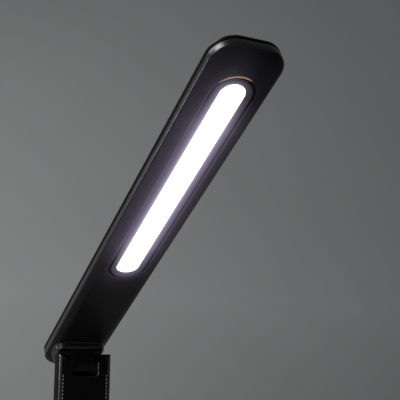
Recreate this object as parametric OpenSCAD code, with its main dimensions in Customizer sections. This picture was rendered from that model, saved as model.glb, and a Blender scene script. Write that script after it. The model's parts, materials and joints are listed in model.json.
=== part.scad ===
// Folding desk lamp: a long flat LED head, a leather-covered stem and a weighted base.
// X is the lamp's width, the head leans towards -Y, Z is up.
// The origin is the centre of the face that the base stands on.

/* [Head] */
// Length of the head, from the rounded hinge end to the tip
head_length = 318; // [300:1:330]
// Width of the head
head_width = 42; // [42:0.5:48]
// Height of the lower shell's side wall
shell_height = 4.1; // [4:0.1:6]
// Depth of the lower shell's belly below its side wall
belly_depth = 2.9; // [2.5:0.1:3.2]
// Width of the curved flank between the belly and the side wall
flank_width = 6.4; // [5.8:0.1:6.4]
// Height of the top cover's edge
cover_height = 2.9; // [2.2:0.1:3.5]
// Height of the shadow gap between the lower shell and the top cover
shadow_gap = 0.4; // [0.3:0.1:0.8]
// Corner radius at the tip
tip_corner = 13.7; // [10:0.1:18]
// Corner radius at the hinge end
rear_corner = 17; // [12:0.5:20]
// Angle by which the head is raised from level at rest
head_lift = 28.3; // [10:0.1:45]

/* [Light] */
// Width of the lit window
window_width = 14.9; // [12:0.1:15]
// Length of the lit window
window_length = 169; // [140:1:175]
// Distance from the hinge end of the head to the lit window
window_start = 126; // [120:1:130]
// Width of the trim ring's slope round the window
slope_width = 3.3; // [2.6:0.1:3.3]
// Width of the channel round the trim ring
channel_width = 2.6; // [1.6:0.1:2.6]
// Depth of the window behind the trim ring's rim
window_depth = 1.2; // [0.5:0.1:1.3]
// Number of light chips in each of the two rows
chips_per_row = 20; // [12:1:24]

/* [Stem] */
// Width of the stem over the leather
stem_width = 38.8; // [38:0.1:42]
// Thickness of the stem over the leather
stem_depth = 12; // [12:0.1:14]
// Radius of the stem's long edges
stem_edge = 2.6; // [2:0.1:3]
// Thickness of the leather
leather_thickness = 1.2; // [0.8:0.1:1.5]
// Distance between the two hinge pins
pin_spacing = 312; // [300:1:330]

/* [Hinges] */
// Distance from a hinge pin to the end of the stem
pin_to_end = 9.3; // [9:0.1:10]
// Width of the slot between the two ears
slot_width = 19.4; // [19:0.1:20]
// Depth of the slot from the stem's end
slot_depth = 15.5; // [15:0.1:17]
// Width of the knuckle that turns in the slot
knuckle_width = 16.4; // [16:0.1:16.6]
// Thickness of the knuckle
knuckle_depth = 8; // [7.6:0.1:8.2]
// Outer radius of the knuckle's round end
hub_radius = 4.4; // [4.2:0.1:4.8]
// Radius of the hinge pin
pin_radius = 2; // [1.8:0.1:2.2]
// Radial running clearance of the pin in the knuckle
running_clearance = 0.05; // [0.02:0.01:0.08]
// Distance from the upper pin to the lower edge of the head's side wall
underside_offset = 19.4; // [19:0.1:20]
// Distance from the upper pin to the hinge end of the head
pin_to_rear = 31.4; // [30:0.1:33]
// Height of the raised boss on the head and on the base
boss_height = 4.3; // [4:0.1:4.8]
// Width of the boss
boss_width = 36; // [35.5:0.1:37]

/* [Base] */
// Width of the base
base_width = 118; // [110:1:140]
// Depth of the base
base_depth = 165; // [160:1:190]
// Height of the base's top above the table
base_height = 16; // [16:0.5:20]
// Corner radius of the base
base_corner = 20; // [16:1:28]
// Radius of the base's top edge
base_edge = 3; // [2:0.5:4]
// Distance of the stem's centre plane behind the base's centre
stem_setback = 58; // [56:1:60]
// Height of the lower hinge pin above the table
lower_pin_height = 44; // [44:0.5:50]
// Thickness of the steel ballast plate
ballast_thickness = 4; // [3:0.5:4]

/* [Hidden] */
$fn = 64;
over = 0.5;                 // how far a cutting solid runs past the face that it cuts
seat = 0.05;                // gap between pieces that are fitted together

upper_pin_height = lower_pin_height + pin_spacing;
tip_y = pin_to_rear - head_length;
head_inside = 1.6;          // wall of the lower shell
head_floor = 1.8;           // floor of the lower shell
cover_roof = 1.4;           // roof of the top cover
cover_edge = 1;             // rounding of its top edge
lip_drop = 1.6;             // of the cover's lip inside the lower shell
lip_wall = 1.2;
edge_strip = 6;             // width of the moulded rim that carries a rounded edge
edge_round = 0.6;           // rounding between the side wall and the flank
flank_radius = (flank_width * flank_width + belly_depth * belly_depth) / (2 * belly_depth);
flank_inside = 4.2;         // from the side wall to the hollow over the flank
hollow_step = 0.8;          // height at which the hollow widens to the side wall
cover_base = shell_height + shadow_gap;

window_centre_y = pin_to_rear - window_start - window_length / 2;
window_straight = window_length - window_width;
slope_outer = window_width / 2 + slope_width;
channel_outer = slope_outer + channel_width;
channel_depth = 1.2;
bezel_back = 2.4;
flange_outer = 10;          // half width of the diffuser's hidden flange
flange_back = 3;
board_bottom = 4.2;
board_top = 5.2;
spreader_top = 5.6;
board_width = 23;
board_length = 184;

boss_face = belly_depth + boss_height;
boss_front = -6.2;          // the boss's front wall, measured from the pin
boss_rear = 24.4;
boss_corner = 7;
boss_edge = 2;
base_boss_reach = 13;       // from the stem's centre plane to the base's boss's ends
pocket_front = -4.05;
pocket_rear = 17;
pocket_half = 12.9;
pocket_floor = 1.8;
flange_height = 2;          // of the knuckle's flange, in the boss's pocket
flange_screw_x = 10.2;
flange_screw_y = [1, 13];
flange_bottom = underside_offset - boss_face + pocket_floor;
wire_width = 5.2;           // wire channel in the knuckles' rear face
wire_depth = 1.4;

sleeve_inside_width = stem_width - 2 * leather_thickness;
sleeve_inside_depth = stem_depth - 2 * leather_thickness;
core_wall = 1.4;
plug_length = 18;
facet_drop = 5.9;           // depth of the facet at the slot, on the stem's front
slot_corner = 2.2;
rear_lip = knuckle_depth / 2 + 0.2; // from the pin down to the leather's lip behind the slot
pin_head_radius = 3.2;
pin_head_height = 1.5;
nut_flats = 5.5;
nut_height = 2.2;
disc_radius = 4.1;
disc_thickness = 1;
spring_thickness = 0.35;
cable_width = 6;
cable_thickness = 1.4;

skirt_bottom = 1;
pad_thickness = 1.4;
plate_top = 3.2;
base_wall = 2.2;
base_roof = 2.4;
pad_inset = 8;
ballast_inset = 12;
post_inset = 13;
post_radius = 3.6;
panel_width = 64;
panel_depth = 14;
panel_y = -50;
panel_recess = 0.9;
panel_proud = 0.15;
control_width = 70;
control_depth = 44;
control_bottom = 9.6;
control_top = 11.2;
control_front = -73;
control_posts = [[-29, -68], [29, -68], [-29, -34], [29, -34]];
inlet_height = 8.6;         // height of the inlet's centre above the table
inlet_width = 9;
inlet_thickness = 3.3;
inlet_length = 7.5;
foot_width = 44;
foot_front = -15;
foot_rear = 7.5;
foot_thickness = 2.4;
foot_bottom = plate_top + ballast_thickness;
foot_top = foot_bottom + foot_thickness;

// ---- outlines and moulded rims ----

// Rounded rectangle with its own corner radius at the front (-Y) and at the rear (+Y).
module outline(front, rear, width, front_r, rear_r) {
    half = width / 2;
    for (side = [-1, 1]) {
        translate([side * (half - front_r), front + front_r]) circle(front_r);
        translate([side * (half - rear_r), rear - rear_r]) circle(rear_r);
    }
    polygon([
        [-half + front_r, front], [half - front_r, front],
        [half, front + front_r], [half, rear - rear_r],
        [half - rear_r, rear], [-half + rear_r, rear],
        [-half, rear - rear_r], [-half, front + front_r]
    ]);
}

// Section of a rim: x = 0 is the outer wall, and the low and high outer edges are rounded.
module rim_section(depth, height, low_r, high_r) {
    difference() {
        translate([-depth, 0]) square([depth, height]);
        if (low_r > 0) difference() {
            translate([-low_r, -over]) square([low_r + over, low_r + over]);
            translate([-low_r, low_r]) circle(low_r);
        }
        if (high_r > 0) difference() {
            translate([-high_r, height - high_r]) square([high_r + over, high_r + over]);
            translate([-high_r, height - high_r]) circle(high_r);
        }
    }
}

// Carries a rim section round the outline.
module round_outline(front, rear, width, front_r, rear_r) {
    half = width / 2;
    for (side = [-1, 1]) {
        translate([side * (half - front_r), front + front_r, 0])
            rotate_extrude() translate([front_r, 0]) children();
        translate([side * (half - rear_r), rear - rear_r, 0])
            rotate_extrude() translate([rear_r, 0]) children();
    }
    for (flip = [0, 1]) mirror([flip, 0, 0])
        translate([half, rear - rear_r, 0]) rotate([90, 0, 0])
            linear_extrude(rear - front - front_r - rear_r) children();
    translate([half - front_r, front, 0]) rotate([0, 0, -90]) rotate([90, 0, 0])
        linear_extrude(width - 2 * front_r) children();
    translate([rear_r - half, rear, 0]) rotate([0, 0, 90]) rotate([90, 0, 0])
        linear_extrude(width - 2 * rear_r) children();
}

// Slab with rounded edges: the rim section runs round the outline, and the middle is filled.
module slab(front, rear, width, front_r, rear_r, height, low_r, high_r) {
    depth = min(front_r, rear_r, edge_strip) - seat;
    fill = depth - seat;
    linear_extrude(height)
        outline(front + fill, rear - fill, width - 2 * fill, front_r - fill, rear_r - fill);
    round_outline(front, rear, width, front_r, rear_r)
        rim_section(depth, height, low_r, high_r);
}

// Stadium outline of a half width, lying along Y over the lit window.
module stadium(half) {
    translate([0, window_centre_y]) {
        for (end = [-1, 1]) translate([0, end * window_straight / 2]) circle(half);
        square([2 * half, window_straight], center = true);
    }
}

// Carries a section (x = distance from the window's centre line) round the stadium.
module round_window() {
    for (end = [0, 1]) translate([0, window_centre_y, 0]) mirror([0, end, 0])
        translate([0, window_straight / 2, 0]) intersection() {
            rotate_extrude() children();
            translate([-30, 0, -30]) cube([60, 30, 60]);
        }
    for (flip = [0, 1]) mirror([flip, 0, 0])
        translate([0, window_centre_y + window_straight / 2, 0]) rotate([90, 0, 0])
            linear_extrude(window_straight) children();
}

// Places a piece that is drawn level, with the upper pin at its origin, where the head is.
module on_head() {
    translate([0, stem_setback, upper_pin_height]) rotate([-head_lift, 0, 0]) children();
}

// The same, with the lower edge of the head's side wall at z = 0.
module on_underside() {
    on_head() translate([0, 0, underside_offset]) children();
}

// The same, with the flat of the belly at z = 0.
module on_belly() {
    on_underside() translate([0, 0, -belly_depth]) children();
}

// Places a piece that is drawn with a hinge pin at its origin and the stem's end above it.
module at_upper_pin() {
    translate([0, stem_setback, upper_pin_height]) children();
}

module at_lower_pin() {
    translate([0, stem_setback, lower_pin_height]) mirror([0, 0, 1]) children();
}

// Round bar along X, centred.
module bar(radius, length) {
    rotate([0, 90, 0]) cylinder(r = radius, h = length, center = true);
}

// Screw with a flat head: the head stands on z = 0 and the shank runs down.
module screw(head_r, head_h, shank_r, shank_h) {
    translate([0, 0, -shank_h]) cylinder(r = shank_r, h = shank_h + seat);
    difference() {
        cylinder(r = head_r, h = head_h);
        translate([0, 0, head_h / 2]) cylinder(r = head_r * 0.5, h = head_h, $fn = 6);
    }
}

// ---- head ----

module flange_screw_places() {
    for (side = [-1, 1], y = flange_screw_y) translate([side * flange_screw_x, y, 0]) children();
}

// Section of the lower shell's rim: side wall, rounded edge and curved flank down to the belly.
module belly_section(depth) {
    difference() {
        translate([-depth, -belly_depth]) square([depth, belly_depth + shell_height]);
        difference() {
            translate([-edge_round - flank_width, -belly_depth - over])
                square([edge_round + flank_width + over, belly_depth + over]);
            translate([-edge_round - flank_width, flank_radius - belly_depth])
                circle(flank_radius);
        }
        difference() {
            translate([-edge_round, -over]) square([edge_round + over, edge_round + over]);
            translate([-edge_round, edge_round]) circle(edge_round);
        }
    }
}

module head_outline(inset) {
    outline(tip_y + inset, pin_to_rear - inset, head_width - 2 * inset,
        tip_corner - inset, rear_corner - inset);
}

module belly_slab() {
    depth = edge_round + flank_width + 1;
    translate([0, 0, -belly_depth]) linear_extrude(belly_depth + shell_height)
        head_outline(depth - seat);
    round_outline(tip_y, pin_to_rear, head_width, tip_corner, rear_corner)
        belly_section(depth);
}

module head_bottom_shell() {
    color([0.06, 0.06, 0.065]) on_underside() difference() {
        union() {
            difference() {
                belly_slab();
                translate([0, 0, head_floor - belly_depth])
                    linear_extrude(belly_depth + shell_height) head_outline(flank_inside);
                translate([0, 0, hollow_step]) linear_extrude(shell_height)
                    head_outline(head_inside);
            }
            // boss, which reaches up into the shell's floor
            translate([0, 0, -boss_face])
                slab(boss_front, boss_rear, boss_width, boss_corner, boss_width / 2 - seat,
                    boss_height + head_floor - seat, boss_edge, 0);
        }
        translate([0, 0, -belly_depth - over]) linear_extrude(head_floor + 2 * over)
            stadium(channel_outer + seat);
        // pocket in the boss for the knuckle's flange, open towards the inside of the head
        translate([-pocket_half, pocket_front, pocket_floor - boss_face])
            cube([2 * pocket_half, pocket_rear - pocket_front, boss_face + shell_height]);
        // way out for the knuckle
        translate([-knuckle_width / 2 - seat, pocket_front, -boss_face - over])
            cube([knuckle_width + 2 * seat, knuckle_depth + 2 * seat, boss_face]);
        flange_screw_places()
            translate([0, 0, -boss_face + 0.6]) cylinder(r = 1.2, h = boss_face);
    }
}

module head_top_cover() {
    lip_inset = head_inside + 0.1;
    color([0.05, 0.05, 0.055]) on_underside() difference() {
        union() {
            translate([0, 0, cover_base])
                slab(tip_y, pin_to_rear, head_width, tip_corner, rear_corner,
                    cover_height, 0.3, cover_edge);
            // lip that drops inside the lower shell's wall
            translate([0, 0, cover_base - lip_drop]) linear_extrude(lip_drop + seat)
                head_outline(lip_inset);
        }
        translate([0, 0, cover_base - lip_drop - over])
            linear_extrude(cover_height - cover_roof + lip_drop + over)
                head_outline(lip_inset + lip_wall);
    }
}

module diffuser() {
    color([0.96, 0.97, 1]) on_belly() {
        translate([0, 0, window_depth]) linear_extrude(bezel_back - window_depth + seat)
            stadium(window_width / 2 - seat);
        translate([0, 0, bezel_back]) linear_extrude(flange_back - bezel_back)
            stadium(flange_outer);
    }
}

// Trim ring: it slopes from its rim down to the window, with a channel outside the rim.
module diffuser_bezel() {
    inner = window_width / 2;
    color([0.09, 0.09, 0.1]) on_belly() round_window() polygon([
        [inner, window_depth], [slope_outer - 0.5, 0], [slope_outer, 0.3],
        [slope_outer, channel_depth], [channel_outer, channel_depth],
        [channel_outer, bezel_back], [inner, bezel_back]
    ]);
}

// Thin bright bead in the channel, against the ring's rim.
module bezel_trim() {
    bead = 0.35;
    color([0.85, 0.55, 0.4]) on_belly() round_window()
        translate([slope_outer + bead + 0.01, channel_depth - bead]) circle(bead, $fn = 24);
}

module reflector_frame() {
    color([0.9, 0.9, 0.9]) on_belly() difference() {
        translate([0, 0, bezel_back]) linear_extrude(board_bottom - bezel_back)
            stadium(channel_outer + 1.5);
        translate([0, 0, bezel_back - over])
            linear_extrude(flange_back - bezel_back + over + seat) stadium(flange_outer + seat);
        translate([0, 0, flange_back]) linear_extrude(board_bottom)
            stadium(flange_outer - 1);
        board_screw_places() cylinder(r = 0.9, h = 4.2, center = true);
    }
}

module board_outline() {
    translate([0, window_centre_y]) square([board_width, board_length], center = true);
}

module led_board() {
    color([0.85, 0.85, 0.82]) on_belly() difference() {
        translate([0, 0, board_bottom]) linear_extrude(board_top - board_bottom) board_outline();
        board_screw_places() cylinder(r = 0.9, h = 3, center = true);
    }
}

module board_screw_places() {
    for (x = [-1, 1], y = [-1, 1])
        translate([x * 10, window_centre_y + y * (board_length / 2 - 8), board_top]) children();
}

module led_chips() {
    pitch = (window_straight - 6) / (chips_per_row - 1);
    color([1, 0.93, 0.6]) on_belly()
        for (row = [-1, 1], i = [0 : chips_per_row - 1])
            translate([row * 4 - 1.4, window_centre_y - window_straight / 2 + 3 + i * pitch - 1.75,
                    board_bottom - 0.7])
                cube([2.8, 3.5, 0.7]);
}

module heat_spreader() {
    color([0.75, 0.76, 0.78]) on_belly() difference() {
        translate([0, 0, board_top]) linear_extrude(spreader_top - board_top) board_outline();
        board_screw_places() cylinder(r = 2, h = 3, center = true);
        for (i = [-3 : 3]) translate([-5, window_centre_y + i * 24 - 4, board_top - over])
            cube([10, 8, 2]);
    }
}

module board_screws() {
    color([0.7, 0.7, 0.72]) on_belly() board_screw_places() screw(1.6, 0.45, 0.85, 1.9);
}

// Block with a round end that turns on the pin, and a foot that is screwed down.
// The wire channel runs along its rear face.
module knuckle(reach) {
    difference() {
        union() {
            bar(hub_radius, knuckle_width);
            translate([-knuckle_width / 2, -knuckle_depth / 2, 0])
                cube([knuckle_width, knuckle_depth, reach]);
        }
        bar(pin_radius + running_clearance, knuckle_width + 2 * over);
        translate([-wire_width / 2, knuckle_depth / 2 - wire_depth, 6])
            cube([wire_width, wire_depth + over, reach]);
    }
}

module head_knuckle() {
    color([0.1, 0.1, 0.11]) on_head() {
        knuckle(flange_bottom + seat);
        difference() {
            translate([-pocket_half + 0.2, pocket_front + 0.1, flange_bottom])
                cube([2 * pocket_half - 0.4, pocket_rear - pocket_front - 0.3, flange_height]);
            flange_screw_places() translate([0, 0, flange_bottom - over])
                cylinder(r = 1.3, h = flange_height + 2 * over);
            translate([-wire_width / 2, knuckle_depth / 2 - wire_depth, flange_bottom - over])
                cube([wire_width, 4, flange_height + 2 * over]);
        }
    }
}

module knuckle_screws() {
    color([0.7, 0.7, 0.72]) on_head() flange_screw_places()
        translate([0, 0, flange_bottom + flange_height]) screw(2.1, 1.3, 1.15, 3);
}

// ---- stem ----

module stem_outline(width, depth, radius) {
    outline(-depth / 2, depth / 2, width, radius, radius);
}

// Everything that is cut from the end of the stem: the slot with round lower corners, and
// one sloping facet on the inner front corner of each ear. Drawn from the pin, end upwards.
module stem_end_cuts() {
    bottom = pin_to_end - slot_depth;
    rotate([90, 0, 0]) linear_extrude(40, center = true) {
        for (side = [-1, 1])
            translate([side * (slot_width / 2 - slot_corner), bottom + slot_corner])
                circle(slot_corner);
        translate([-slot_width / 2 + slot_corner, bottom])
            square([slot_width - 2 * slot_corner, 20]);
        translate([-slot_width / 2, bottom + slot_corner]) square([slot_width, 20]);
    }
    across = facet_drop / (stem_width / 2 - slot_width / 2);
    along = facet_drop / stem_depth;
    for (flip = [0, 1]) mirror([flip, 0, 0]) intersection() {
        translate([stem_width / 2, -stem_depth / 2, pin_to_end])
            rotate([atan(along * cos(atan(across))), -atan(across), 0])
                translate([-60, -30, 0]) cube([90, 90, 20]);
        translate([0, -stem_depth, 0]) cube([stem_width, 2 * stem_depth, 30]);
    }
}

// The leather is cut less deep behind the slot, where its lip closes the view under the knuckle.
module leather_end_cuts() {
    difference() {
        stem_end_cuts();
        translate([-slot_width / 2 - over, stem_depth / 2 - leather_thickness - over, -20])
            cube([slot_width + 2 * over, leather_thickness + 2 * over, 20 - rear_lip]);
    }
}

module stem_leather() {
    length = pin_spacing + 2 * pin_to_end;
    color([0.07, 0.07, 0.07]) difference() {
        translate([0, stem_setback, lower_pin_height - pin_to_end]) difference() {
            linear_extrude(length) stem_outline(stem_width, stem_depth, stem_edge);
            translate([0, 0, -over]) linear_extrude(length + 2 * over)
                stem_outline(sleeve_inside_width + seat, sleeve_inside_depth + seat,
                    stem_edge - leather_thickness);
        }
        at_upper_pin() leather_end_cuts();
        at_lower_pin() leather_end_cuts();
    }
}

module stem_core() {
    length = pin_spacing + 2 * (pin_to_end - slot_depth - 3);
    color([0.7, 0.71, 0.73])
        translate([0, stem_setback, lower_pin_height - pin_to_end + slot_depth + 3]) difference() {
            linear_extrude(length)
                stem_outline(sleeve_inside_width, sleeve_inside_depth, stem_edge - leather_thickness);
            translate([0, 0, -over]) linear_extrude(length + 2 * over)
                stem_outline(sleeve_inside_width - 2 * core_wall,
                    sleeve_inside_depth - 2 * core_wall, 0.8);
        }
}

// Slotted end piece: two ears with the pin's holes, and a plug that fits the core.
module yoke() {
    shoulder = pin_to_end - slot_depth - 3;
    difference() {
        union() {
            translate([0, 0, shoulder]) linear_extrude(slot_depth + 3)
                stem_outline(sleeve_inside_width, sleeve_inside_depth, stem_edge - leather_thickness);
            translate([0, 0, shoulder - plug_length]) linear_extrude(plug_length + seat)
                stem_outline(sleeve_inside_width - 2 * core_wall - 2 * seat,
                    sleeve_inside_depth - 2 * core_wall - 2 * seat, 0.7);
        }
        stem_end_cuts();
        bar(pin_radius + 0.03, stem_width);
        translate([-sleeve_inside_width / 2 + 1.8, 0, 0]) rotate([0, -90, 0])
            cylinder(r = pin_head_radius + 0.1, h = 5);
        translate([sleeve_inside_width / 2 - 2.5, 0, 0]) rotate([0, 90, 0])
            cylinder(r = 3.5, h = 5);
        translate([-4, -1.6, shoulder - plug_length - over])
            cube([8, 3.2, plug_length + 3 + 2 * over]);
    }
}

module upper_yoke() {
    color([0.08, 0.08, 0.085]) at_upper_pin() yoke();
}

module lower_yoke() {
    color([0.08, 0.08, 0.085]) at_lower_pin() yoke();
}

// Flat cable through the core, with a connector at each end.
module stem_cable() {
    bottom = lower_pin_height - pin_to_end + slot_depth + 3 + plug_length;
    length = pin_spacing - 2 * (bottom - lower_pin_height);
    color([0.8, 0.8, 0.8]) translate([0, stem_setback, bottom]) {
        translate([-cable_width / 2, -cable_thickness / 2, 0])
            cube([cable_width, cable_thickness, length]);
        for (z = [-8, length]) translate([-3.6, -1.4, z]) cube([7.2, 2.8, 8]);
    }
}

module hinge_pin() {
    shank_left = -sleeve_inside_width / 2 + 1.8;
    shank_right = sleeve_inside_width / 2 - 0.2;
    translate([shank_left - seat, 0, 0]) rotate([0, 90, 0])
        cylinder(r = pin_radius, h = shank_right - shank_left + seat);
    translate([shank_left, 0, 0]) rotate([0, -90, 0])
        cylinder(r = pin_head_radius, h = pin_head_height);
}

module upper_hinge_pin() {
    color([0.72, 0.73, 0.75]) at_upper_pin() hinge_pin();
}

module lower_hinge_pin() {
    color([0.72, 0.73, 0.75]) at_lower_pin() hinge_pin();
}

module hinge_nut() {
    translate([sleeve_inside_width / 2 - 2.5, 0, 0]) rotate([0, 90, 0]) difference() {
        cylinder(r = nut_flats / sqrt(3), h = nut_height, $fn = 6);
        translate([0, 0, -over]) cylinder(r = pin_radius + 0.02, h = nut_height + 2 * over);
    }
}

module upper_hinge_nut() {
    color([0.72, 0.73, 0.75]) at_upper_pin() hinge_nut();
}

module lower_hinge_nut() {
    color([0.72, 0.73, 0.75]) at_lower_pin() hinge_nut();
}

// A pair of rings on the pin, from a distance off the middle plane.
module ring_pair(radius, thickness, start) {
    for (flip = [0, 1]) mirror([flip, 0, 0])
        translate([start, 0, 0]) rotate([0, 90, 0]) difference() {
            cylinder(r = radius, h = thickness);
            translate([0, 0, -over]) cylinder(r = pin_radius + 0.04, h = thickness + 2 * over);
        }
}

module friction_discs() {
    ring_pair(disc_radius, disc_thickness, knuckle_width / 2 + 0.06);
}

module spring_washers() {
    ring_pair(disc_radius - 0.5, spring_thickness, slot_width / 2 - 0.02 - spring_thickness);
}

module upper_friction_discs() {
    color([0.35, 0.3, 0.25]) at_upper_pin() friction_discs();
}

module lower_friction_discs() {
    color([0.35, 0.3, 0.25]) at_lower_pin() friction_discs();
}

module upper_spring_washers() {
    color([0.65, 0.65, 0.68]) at_upper_pin() spring_washers();
}

module lower_spring_washers() {
    color([0.65, 0.65, 0.68]) at_lower_pin() spring_washers();
}

// ---- base ----

module base_outline(inset) {
    outline(-base_depth / 2 + inset, base_depth / 2 - inset, base_width - 2 * inset,
        base_corner - inset, base_corner - inset);
}

module post_places() {
    for (x = [-1, 1], y = [-1, 1])
        translate([x * (base_width / 2 - post_inset), y * (base_depth / 2 - post_inset), 0])
            children();
}

module base_shell() {
    color([0.06, 0.06, 0.065]) difference() {
        union() {
            difference() {
                translate([0, 0, skirt_bottom])
                    slab(-base_depth / 2, base_depth / 2, base_width, base_corner, base_corner,
                        base_height - skirt_bottom, 0.6, base_edge);
                translate([0, 0, skirt_bottom - over])
                    linear_extrude(base_height - base_roof - skirt_bottom + over)
                        base_outline(base_wall);
            }
            translate([0, stem_setback, base_height]) mirror([0, 0, 1])
                translate([0, 0, -boss_height])
                    slab(-base_boss_reach, base_boss_reach, boss_width, boss_corner, boss_corner,
                        boss_height + seat, boss_edge, 0);
            post_places() translate([0, 0, plate_top]) cylinder(r = post_radius,
                h = base_height - base_roof - plate_top + seat);
            for (p = control_posts) translate([p[0], p[1], control_top])
                cylinder(r = 2.4, h = base_height - base_roof - control_top + seat);
        }
        // way out for the knuckle
        translate([-knuckle_width / 2 - 0.1, stem_setback - knuckle_depth / 2 - 0.1, 8])
            cube([knuckle_width + 0.2, knuckle_depth + 0.2, 30]);
        post_places() translate([0, 0, plate_top - over]) cylinder(r = 1.3, h = 8);
        for (p = control_posts) translate([p[0], p[1], control_top - over])
            cylinder(r = 0.9, h = 2.4);
        // seat of the touch panel
        translate([0, panel_y, base_height - panel_recess]) linear_extrude(2)
            outline(-panel_depth / 2 - seat, panel_depth / 2 + seat, panel_width + 2 * seat,
                panel_depth / 2 - seat, panel_depth / 2 - seat);
        // mouth of the power inlet
        translate([0, base_depth / 2 + over, inlet_height]) rotate([90, 0, 0])
            linear_extrude(base_wall + 2 * over) inlet_outline(0.15);
    }
}

module base_bottom_plate() {
    color([0.08, 0.08, 0.085]) difference() {
        union() {
            translate([0, 0, pad_thickness]) linear_extrude(plate_top - pad_thickness)
                base_outline(base_wall + 0.1);
            for (x = [-6, 6]) translate([x - 1, base_depth / 2 - 13, plate_top - seat])
                cube([2, 9, inlet_height - inlet_thickness / 2 - 1 - plate_top + seat]);
        }
        post_places() {
            cylinder(r = 1.6, h = 8);
            translate([0, 0, pad_thickness - over]) cylinder(r = 3, h = over + 1);
        }
    }
}

module base_pad() {
    color([0.12, 0.12, 0.12]) linear_extrude(pad_thickness) base_outline(pad_inset);
}

module ballast_plate() {
    front = -base_depth / 2 + ballast_inset;
    rear = stem_setback + foot_rear + 1;
    color([0.5, 0.5, 0.52]) translate([0, 0, plate_top]) difference() {
        linear_extrude(ballast_thickness)
            outline(front, rear, base_width - 2 * ballast_inset + 6, 12, 4);
        post_places() cylinder(r = post_radius + 4, h = 30, center = true);
        foot_screw_places() cylinder(r = 1.5, h = 30, center = true);
    }
}

module touch_panel() {
    color([0.02, 0.02, 0.025]) translate([0, panel_y, base_height - panel_recess])
        linear_extrude(panel_recess + panel_proud)
            outline(-panel_depth / 2, panel_depth / 2, panel_width,
                panel_depth / 2 - seat, panel_depth / 2 - seat);
}

module control_board() {
    color([0.05, 0.3, 0.15]) difference() {
        union() {
            translate([-control_width / 2, control_front, control_bottom])
                cube([control_width, control_depth, control_top - control_bottom]);
            // controller, coil, connector and the three touch springs
            translate([-6, -52, control_bottom - 1]) cube([9, 9, 1 + seat]);
            translate([14, -46, control_bottom - 2]) cylinder(r = 4, h = 2 + seat);
            translate([-28, -54, control_bottom - 2]) cube([10, 7, 2 + seat]);
            for (x = [-20, 0, 20]) translate([x, panel_y, control_top - seat])
                cylinder(r = 3, h = base_height - base_roof - control_top);
        }
        for (p = control_posts) translate([p[0], p[1], control_bottom - over])
            cylinder(r = 1.1, h = 4);
    }
}

module control_board_screws() {
    color([0.7, 0.7, 0.72]) for (p = control_posts)
        translate([p[0], p[1], control_bottom]) mirror([0, 0, 1]) screw(2, 1.2, 0.85, 3);
}

module inlet_outline(gap) {
    round = inlet_thickness / 2;
    for (side = [-1, 1]) translate([side * (inlet_width / 2 - round), 0]) circle(round + gap);
    square([inlet_width - 2 * round, inlet_thickness + 2 * gap], center = true);
}

// Slot-shaped low-voltage receptacle: a drawn metal shell with a contact tongue.
module power_inlet() {
    color([0.75, 0.75, 0.77]) translate([0, base_depth / 2 - 0.3, inlet_height])
        rotate([90, 0, 0]) difference() {
            linear_extrude(inlet_length) inlet_outline(0);
            translate([0, 0, -over]) linear_extrude(inlet_length - 1 + over) difference() {
                inlet_outline(-0.35);
                translate([-3.3, -0.35]) square([6.6, 0.7]);
            }
            translate([0, 0, -over]) linear_extrude(1 + over) inlet_outline(-0.35);
        }
}

module inlet_board() {
    top = inlet_height - inlet_thickness / 2;
    color([0.05, 0.3, 0.15])
        translate([-8, base_depth / 2 - 14, top - 1]) cube([16, 11, 1]);
}

module foot_screw_places() {
    for (x = [-17, 17], y = [-10, 3]) translate([x, stem_setback + y, 0]) children();
}

module base_knuckle() {
    color([0.1, 0.1, 0.11]) {
        at_lower_pin() knuckle(lower_pin_height - foot_top + seat);
        difference() {
            translate([-foot_width / 2, stem_setback + foot_front, foot_bottom])
                cube([foot_width, foot_rear - foot_front, foot_thickness]);
            foot_screw_places() cylinder(r = 1.6, h = 30);
            translate([-wire_width / 2, stem_setback + knuckle_depth / 2 - wire_depth, 0])
                cube([wire_width, wire_depth + over, 20]);
        }
    }
}

module base_knuckle_screws() {
    color([0.7, 0.7, 0.72]) foot_screw_places()
        translate([0, 0, foot_top]) screw(2.7, 1.8, 1.45, 5.6);
}

module base_screws() {
    color([0.7, 0.7, 0.72]) post_places()
        translate([0, 0, pad_thickness + 1]) mirror([0, 0, 1]) screw(2.8, 0.95, 1.25, 7);
}

head_bottom_shell();
head_top_cover();
diffuser();
diffuser_bezel();
bezel_trim();
reflector_frame();
led_board();
led_chips();
heat_spreader();
board_screws();
head_knuckle();
knuckle_screws();
stem_leather();
stem_core();
upper_yoke();
lower_yoke();
stem_cable();
upper_hinge_pin();
lower_hinge_pin();
upper_hinge_nut();
lower_hinge_nut();
upper_friction_discs();
lower_friction_discs();
upper_spring_washers();
lower_spring_washers();
base_shell();
base_bottom_plate();
base_pad();
ballast_plate();
touch_panel();
control_board();
control_board_screws();
power_inlet();
inlet_board();
base_knuckle();
base_knuckle_screws();
base_screws();
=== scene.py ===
import json
import math
from functools import partial

import bmesh
import bpy
import numpy as np
from mathutils import Matrix, Vector


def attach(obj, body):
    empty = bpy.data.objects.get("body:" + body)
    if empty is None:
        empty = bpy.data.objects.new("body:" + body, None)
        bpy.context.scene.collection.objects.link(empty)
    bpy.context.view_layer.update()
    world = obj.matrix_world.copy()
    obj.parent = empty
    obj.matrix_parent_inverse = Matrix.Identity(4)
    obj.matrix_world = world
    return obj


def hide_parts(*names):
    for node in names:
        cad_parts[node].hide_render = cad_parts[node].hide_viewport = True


# A folding desk lamp: flat light head, leather-covered stem, weighted base.
# Shapes are worked out in millimetres and turned into metres where the mesh is made.

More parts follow.
